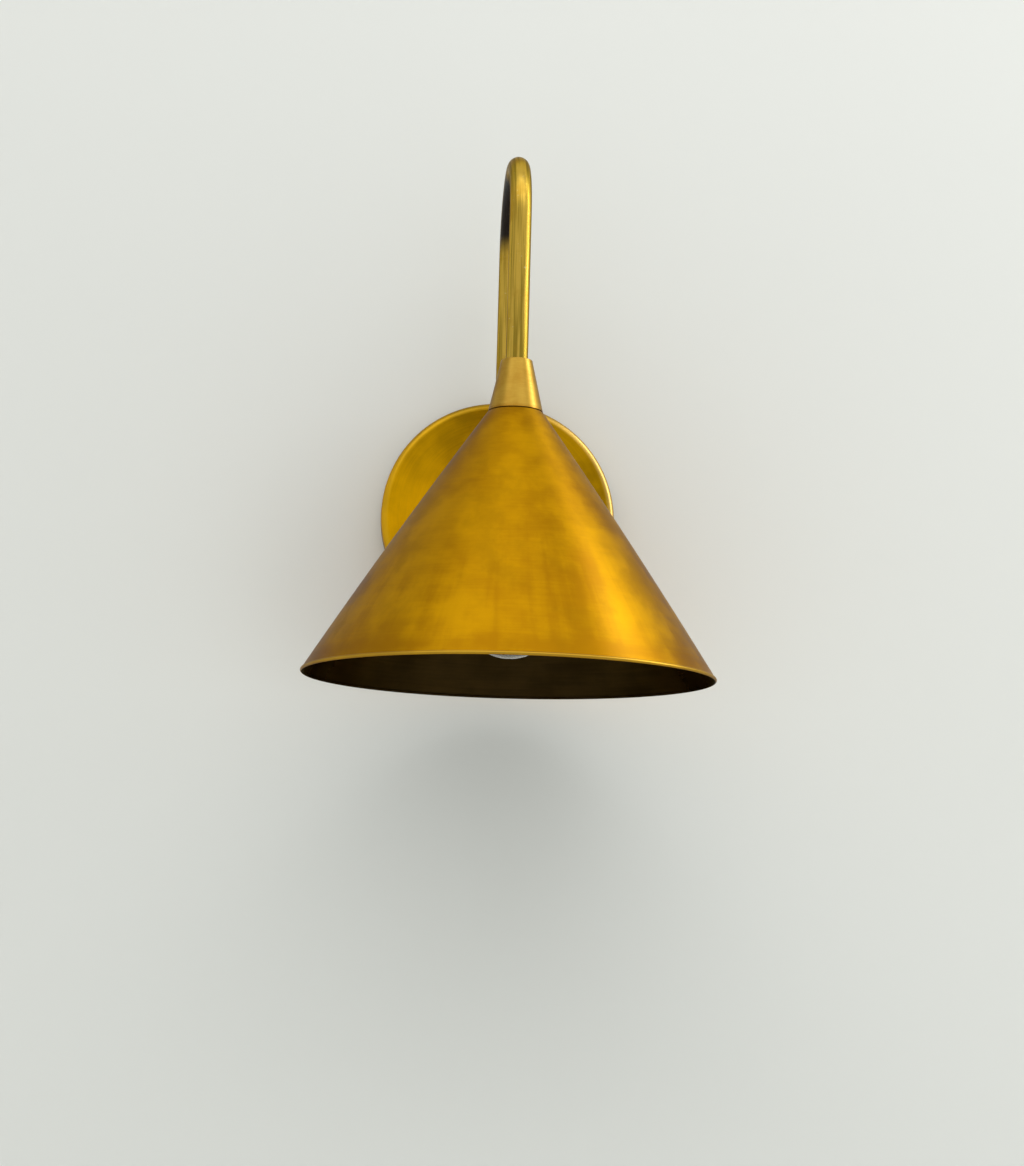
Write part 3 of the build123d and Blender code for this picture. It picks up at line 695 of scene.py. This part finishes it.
class WALLLIGHT_OT_arm(bpy.types.Operator):
    """Bend the arm out of one length of tube"""

    bl_idname = "wall_light.arm"
    bl_label = "Bend arm"

    spigot: size("Spigot", "How far the shade's nipple stands in the tube", 12.0 * MM)

    def execute(self, context):
        given = sizes()
        tube_r, wall_y = high["arm_tube"].x, high["arm_tube"].y
        bend_y = low["arm_hub"].y - given.stub
        arch_y, arch_z, arch_r = arm_arch()
        end_z = high["shade_nipple"].z - self.spigot

        bm = bmesh.new()
        place = bm.verts.layers.float_vector.new("tube_place")
        start = Matrix.Translation((0, wall_y, 0)) @ AT_WALL
        for radius in (tube_r, tube_r - given.tube_wall):
            ring = bmesh.ops.create_circle(
                bm, segments=given.small_facets, radius=radius, matrix=start
            )
            for vert in ring["verts"]:
                vert[place] = (vert.co.x / radius, vert.co.z / radius, 0)
        first = last = bm.edges[:]
        last = self.straight(bm, last, place, Vector((0, bend_y - wall_y, 0)))
        last = self.bend(bm, last, place, (0, bend_y, given.lower_bend), -90, given.lower_bend)
        last = self.straight(bm, last, place, UP * (arch_z - given.lower_bend))
        last = self.bend(bm, last, place, (0, arch_y, arch_z), 180, arch_r)
        last = self.straight(bm, last, place, UP * (end_z - arch_z))
        for rings in (first, last):
            bmesh.ops.bridge_loops(bm, edges=rings)
        closed_up(bm)
        finished(bm, "bent_arm", "base", ["arm_tube"], [arm_finish()])
        return {"FINISHED"}

    def straight(self, bm, rings, place, run):
        steps = math.ceil(run.length / sizes().tube_step)
        step = Matrix.Translation(run / steps)
        return self.drawn(bm, rings, place, step, run.length / steps, steps)

    def bend(self, bm, rings, place, centre, degrees, radius):
        """Carries the tube's rings round a centre in the light's middle plane."""
        angle = math.radians(degrees)
        arc = abs(angle) * radius
        steps = math.ceil(2 * arc / sizes().tube_step)
        centre = Matrix.Translation(centre)
        step = centre @ Matrix.Rotation(angle / steps, 4, "X") @ centre.inverted()
        return self.drawn(bm, rings, place, step, arc / steps, steps)

    def drawn(self, bm, rings, place, step, length, steps):
        """Carries the tube's rings on, and notes on them how far along the tube they are."""
        for _ in range(steps):
            made = bmesh.ops.extrude_edge_only(bm, edges=rings)["geom"]
            verts = {item for item in made if isinstance(item, bmesh.types.BMVert)}
            bmesh.ops.transform(bm, matrix=step, verts=list(verts))
            for vert in verts:
                vert[place] += UP * length
            edges = [item for item in made if isinstance(item, bmesh.types.BMEdge)]
            rings = [edge for edge in edges if set(edge.verts) <= verts]
        return rings


class WALLLIGHT_OT_nipples(bpy.types.Operator):
    """Turn and thread the two nipples"""

    bl_idname = "wall_light.nipples"
    bl_label = "Thread nipples"

    bore: size("Bore", "Diameter of the bore", 6.5 * MM)
    pitch: size("Pitch", "Height of one turn of the thread", 1.0 * MM)
    depth: size("Depth", "Depth of the thread", 0.5 * MM)
    chamfer: size("Chamfer", "Chamfer at the thread's ends", 0.4 * MM)
    spigot: size("Spigot", "Plain end that stands in the arm", 12.0 * MM)
    spigot_d: size("Spigot diameter", "Diameter of the plain end", 9.0 * MM)

    def execute(self, context):
        finish = metal_finish("nipple_brass", (0.64, 0.43, 0.10), roughness=0.3, grain=4 * MM)
        start, end = -high["wall_nipple"].y, -low["wall_nipple"].y
        self.nipple("wall_nipple", start, end, None, AT_WALL, finish)
        start, end = low["shade_nipple"].z, high["shade_nipple"].z
        self.nipple("shade_nipple", start, end - self.spigot, end, AT_LAMP, finish)
        return {"FINISHED"}

    def nipple(self, node, start, end, spigot_end, place, finish):
        """Turns one nipple, threaded from start to end and plain from there to spigot_end."""
        nipple_r = high["wall_nipple"].x
        bore_r = self.bore / 2
        cut = self.chamfer
        corners = [
            (bore_r, start), (nipple_r - cut, start), (nipple_r, start + cut),
            (nipple_r, end - cut), (nipple_r - cut, end),
        ]
        if spigot_end:
            spigot_r = self.spigot_d / 2
            corners += [(spigot_r, end), (spigot_r, spigot_end), (bore_r, spigot_end)]
        else:
            corners += [(bore_r, end)]
        bm = bmesh.new()
        outline(bm, *corners)
        divided(bm, self.pitch / NIPPLE_THREAD_FACES)
        turned(bm, sizes().small_facets)
        threaded(bm, self.pitch, self.depth, start, end, nipple_r - cut)
        moved(bm, place)
        finished(bm, "threaded_" + node, "base", [node], [finish], crease=50)


class WALLLIGHT_OT_bulb_cap(bpy.types.Operator):
    """Press the bulb's threaded cap"""

    bl_idname = "wall_light.bulb_cap"
    bl_label = "Press bulb cap"

    sheet: size("Sheet", "Thickness of the cap", 0.35 * MM)
    taper_r: size("Taper", "Radius at the top of the taper", 11.5 * MM)
    pitch: size("Pitch", "Height of one turn of the thread", 3.63 * MM)
    depth: size("Depth", "Depth of the thread", 0.75 * MM)
    skirt: size("Skirt", "Plain end that is crimped on the glass", 4.6 * MM)

    def execute(self, context):
        bottom, top = low["bulb_cap"].z, high["bulb_cap"].z
        outer = high["bulb_cap"].x
        inner = outer - self.sheet
        shoulder = top - (outer - self.taper_r)
        bm = bmesh.new()
        outline(
            bm,
            (self.taper_r, top), (outer, shoulder, self.sheet), (outer, bottom), (inner, bottom),
            (inner, shoulder), (self.taper_r - self.sheet, top),
        )
        divided(bm, self.pitch / BULB_THREAD_FACES)
        turned(bm, sizes().small_facets)
        threaded(bm, self.pitch, self.depth, bottom + self.skirt, shoulder)
        moved(bm, AT_LAMP)
        finish = metal_finish("cap_nickel", (0.70, 0.68, 0.63), roughness=0.26, grain=5 * MM)
        finished(bm, "threaded_bulb_cap", "bulb", ["bulb_cap"], [finish], crease=60)
        return {"FINISHED"}


class WALLLIGHT_OT_screw_shell(bpy.types.Operator):
    """Press the lampholder's threaded shell"""

    bl_idname = "wall_light.screw_shell"
    bl_label = "Press screw shell"

    sheet: size("Sheet", "Thickness of the shell", 0.4 * MM)
    hole_r: size("Hole", "Radius of the hole in the shell's top", 8.5 * MM)
    lip: size("Lip", "How far the lip stands out", 0.7 * MM)
    lip_h: size("Lip height", "Height of the lip", 1.2 * MM)
    pitch: size("Pitch", "Height of one turn of the thread", 3.63 * MM)
    depth: size("Depth", "Depth of the thread", 0.38 * MM)

    def execute(self, context):
        bottom, top = low["screw_shell"].z, high["screw_shell"].z
        lip_r = high["screw_shell"].x
        outer = lip_r - self.lip
        inner = outer - self.sheet
        bm = bmesh.new()
        outline(
            bm,
            (self.hole_r, top), (outer, top, self.sheet * 1.5), (outer, bottom + self.lip_h),
            (lip_r, bottom + self.lip_h, self.sheet / 2), (lip_r, bottom, self.sheet),
            (inner, bottom, self.sheet / 2), (inner, top - self.sheet),
            (self.hole_r, top - self.sheet),
        )
        divided(bm, self.pitch / BULB_THREAD_FACES)
        turned(bm, sizes().small_facets)
        threaded(bm, self.pitch, self.depth, bottom + self.lip_h, top - self.pitch / 2)
        moved(bm, AT_LAMP)
        finish = metal_finish("shell_nickel", (0.72, 0.58, 0.28), roughness=0.3, grain=5 * MM)
        finished(
            bm, "threaded_screw_shell", "base", ["screw_shell"], [finish], crease=60
        )
        return {"FINISHED"}


class WALLLIGHT_OT_spring(bpy.types.Operator):
    """Coil the spring above the centre contact"""

    bl_idname = "wall_light.spring"
    bl_label = "Coil spring"

    wire: size("Wire", "Diameter of the wire", 0.6 * MM)
    coil: size("Coil", "Diameter of the coil along the middle of its wire", 4.8 * MM)
    turns: bpy.props.FloatProperty(
        name="Turns", description="Turns of the coil", default=4.5, min=1
    )

    def execute(self, context):
        bottom, top = low["contact_spring"].z, high["contact_spring"].z
        wire_r = self.wire / 2
        steps = math.ceil(self.turns * COIL_FACES)
        start = Matrix.Translation((self.coil / 2, 0, bottom + wire_r)) @ AT_WALL
        bm = bmesh.new()
        bmesh.ops.create_circle(bm, segments=WIRE_FACETS, radius=wire_r, matrix=start)
        rise = (top - bottom - self.wire) / steps
        bmesh.ops.spin(
            bm, geom=bm.verts[:] + bm.edges[:], cent=(0, 0, 0), axis=UP,
            angle=TURN * self.turns, dvec=UP * rise, steps=steps,
        )
        bmesh.ops.holes_fill(bm, edges=[edge for edge in bm.edges if edge.is_boundary])
        closed_up(bm)
        moved(bm, AT_LAMP)
        finish = metal_finish("coil_steel", (0.50, 0.51, 0.53), roughness=0.3, grain=2 * MM)
        piece = finished(bm, "coil_spring", "base", ["contact_spring"], [finish])
        press = next(joint for joint in frame["joints"] if joint["name"] == "contact_press")
        fixed_z = press["deforming_nodes"][0]["fixed_end_z_m"]
        keep = 1 - press["range_m"][1] / (fixed_z - bottom)
        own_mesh(piece)
        return {"FINISHED"}


class WALLLIGHT_OT_stage(bpy.types.Operator):
    """Set up the wall and floor, the lamps and the camera"""

    bl_idname = "wall_light.stage"
    bl_label = "Set the stage"

    wall_r: size("Wall", "Radius of the wall behind the light and of the floor", 4.0)
    box_r: size("Box hole", "Radius of the hole in the wall behind the plate", 58 * MM)
    wall_gap: size("Wall gap", "Room between the plate and the wall", 0.4 * MM)
    floor_z: size("Floor", "Height of the floor", -0.9)

    def execute(self, context):
        context.scene.view_settings.view_transform = "Standard"
        finish = self.backdrop_finish()
        self.wall(finish)
        self.floor(finish)
        self.lamps()
        self.world(context.scene)
        self.camera(context.scene)
        return {"FINISHED"}

    def backdrop_finish(self):
        """Plain pale paint that is clear when seen from behind."""
        finish = Finish("backdrop")
        grain = 0.4
        base = colours().backdrop
        cloud = finish.noise(*(part / grain for part in finish.point()))
        tone = finish.mix(cloud, darker(base, 0.985), base)
        paint = finish.node("ShaderNodeBsdfDiffuse", {}, tone)
        clear = finish.node("ShaderNodeBsdfTransparent", {})
        behind = finish.node("ShaderNodeNewGeometry", {}, output="Backfacing")
        return finish.ended(finish.node("ShaderNodeMixShader", {}, behind, paint, clear))

    def wall(self, finish):
        """A round wall with a hole behind the plate, as the box in a real wall needs."""
        bm = bmesh.new()
        rings = []
        for radius in (self.box_r, self.wall_r):
            ring = bmesh.ops.create_circle(bm, segments=STAGE_FACETS, radius=radius)
            rings += list({edge for vert in ring["verts"] for edge in vert.link_edges})
        bmesh.ops.bridge_loops(bm, edges=rings)
        moved(bm, AT_WALL @ Matrix.Translation((0, 0, -self.wall_gap)))
        self.staged(bm, "wall", finish, Vector((0, -1, 0)))

    def floor(self, finish):
        bm = bmesh.new()
        bmesh.ops.create_circle(bm, cap_ends=True, segments=STAGE_FACETS, radius=self.wall_r)
        moved(bm, Matrix.Translation((0, 0, self.floor_z)))
        self.staged(bm, "floor", finish, UP)

    def staged(self, bm, name, finish, facing):
        """Turns the faces the right way round and makes an object of them."""
        for face in bm.faces:
            face.normal_update()
        if sum((face.normal * face.calc_area() for face in bm.faces), Vector()).dot(facing) < 0:
            bmesh.ops.reverse_faces(bm, faces=bm.faces)
        linked(bm, name, [finish])

    def lamps(self):
        target = Vector((0, LAMP_Y, 0))
        above, beside = Vector((-0.1, -0.95, 1.35)), Vector((1.25, -0.18, 0.70))
        area_lamp("overhead", above, target, width=2.6, height=1.1, radiance=1.25)
        area_lamp("window", beside, target, width=0.26, height=1.3, radiance=10.0)

    def world(self, scene):
        scene.world = bpy.data.worlds.new("studio")
        scene.world.use_nodes = True
        background = scene.world.node_tree.nodes["Background"]
        background.inputs["Color"].default_value = (*colours().backdrop, 1)
        background.inputs["Strength"].default_value = ROOM_STRENGTH

    def camera(self, scene):
        """Stands low and a little to the left, and looks up at the light."""
        camera = bpy.data.cameras.new("camera")
        camera.lens = CAMERA_LENS
        view = bpy.data.objects.new("camera", camera)
        scene.collection.objects.link(view)
        scene.camera = view
        angles = CAMERA_YAW, CAMERA_PITCH, CAMERA_ROLL
        yaw, pitch, roll = (math.radians(angle) for angle in angles)
        turn = Matrix.Rotation(-yaw, 4, "Z") @ Matrix.Rotation(math.pi / 2 + pitch, 4, "X")
        place = Matrix.Translation(CAMERA_PLACE)
        view.matrix_world = place @ turn @ Matrix.Rotation(roll, 4, "Z")


class WALLLIGHT_PT_tools(bpy.types.Panel):
    """The wall light's sizes, colours and pieces"""

    bl_idname = "WALLLIGHT_PT_tools"
    bl_label = "Wall Light"
    bl_space_type = "VIEW_3D"
    bl_region_type = "UI"
    bl_category = "Wall Light"

    def draw(self, context):
        for settings in (sizes(), colours()):
            column = self.layout.column(align=True)
            for name in settings.__annotations__:
                column.prop(settings, name)
        column = self.layout.column(align=True)
        for operator in OPERATORS:
            column.operator(operator.bl_idname)


OPERATORS = (
    WALLLIGHT_OT_fittings,
    WALLLIGHT_OT_shade,
    WALLLIGHT_OT_arm,
    WALLLIGHT_OT_nipples,
    WALLLIGHT_OT_bulb_cap,
    WALLLIGHT_OT_screw_shell,
    WALLLIGHT_OT_spring,
    WALLLIGHT_OT_stage,
)
CLASSES = (WallLightSizes, WallLightColours, *OPERATORS, WALLLIGHT_PT_tools)


def register():
    for item in CLASSES:
        bpy.utils.register_class(item)
    bpy.types.Scene.wall_light_sizes = bpy.props.PointerProperty(type=WallLightSizes)
    bpy.types.Scene.wall_light_colours = bpy.props.PointerProperty(type=WallLightColours)


def unregister():
    del bpy.types.Scene.wall_light_colours
    del bpy.types.Scene.wall_light_sizes
    for item in reversed(CLASSES):
        bpy.utils.unregister_class(item)


def main():
    register()
    bpy.ops.wall_light.fittings()
    bpy.ops.wall_light.shade()
    bpy.ops.wall_light.arm()
    bpy.ops.wall_light.nipples()
    bpy.ops.wall_light.bulb_cap()
    bpy.ops.wall_light.screw_shell()
    bpy.ops.wall_light.spring()
    bpy.ops.wall_light.stage()


if __name__ == "__main__":
    main()
